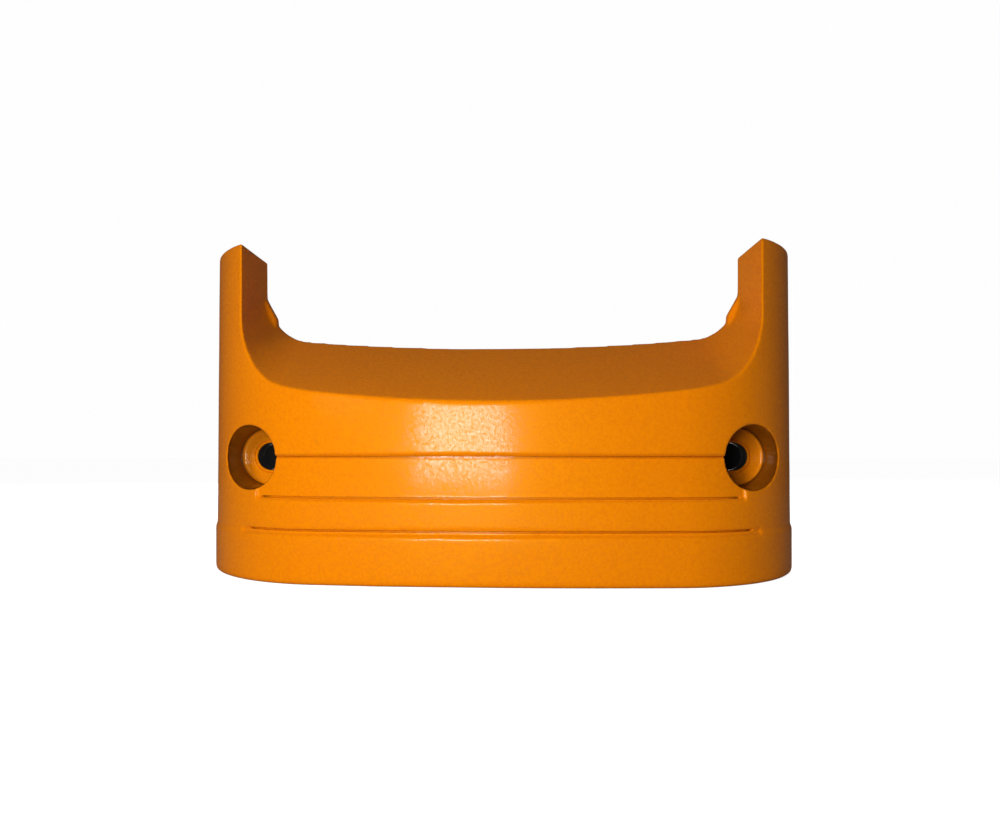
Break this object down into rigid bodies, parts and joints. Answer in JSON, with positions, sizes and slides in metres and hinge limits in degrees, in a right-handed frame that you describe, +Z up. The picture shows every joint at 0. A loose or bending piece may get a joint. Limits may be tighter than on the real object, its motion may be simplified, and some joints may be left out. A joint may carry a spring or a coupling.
{
  "type": "rear counterweight",
  "caption": "Bolt-on cast counterweight with a curved rear face, two upright horns, a sloping saddle between them, counterbored bolt holes and cast grooves.",
  "frame": {"origin": "midway between the two bolt axes, in the plane of the machined mounting pads", "axes": "+X to the right as seen from behind the machine, +Y towards the machine, +Z up"},
  "size_m": [0.7, 0.1579, 0.375],
  "materials": {
    "painted_casting": "satin orange-yellow machinery paint over sand-cast iron",
    "steel": "turned steel, lightly oiled",
    "zinc_plate": "zinc plated steel",
    "rubber": "matt black rubber"
  },
  "bodies": {
    "root": {"counterweight_casting": "painted_casting", "bolt_sleeve_left": "steel", "bolt_sleeve_right": "steel", "locating_dowel_left": "steel", "locating_dowel_right": "steel", "lifting_insert_left": "steel", "lifting_insert_right": "steel", "bonnet_seal": "rubber", "seal_retainer": "zinc_plate", "seal_rivets": "zinc_plate", "buffer_rubber_left": "rubber", "buffer_rubber_right": "rubber", "buffer_stud_left": "zinc_plate", "buffer_stud_right": "zinc_plate"}
  },
  "joints": []
}
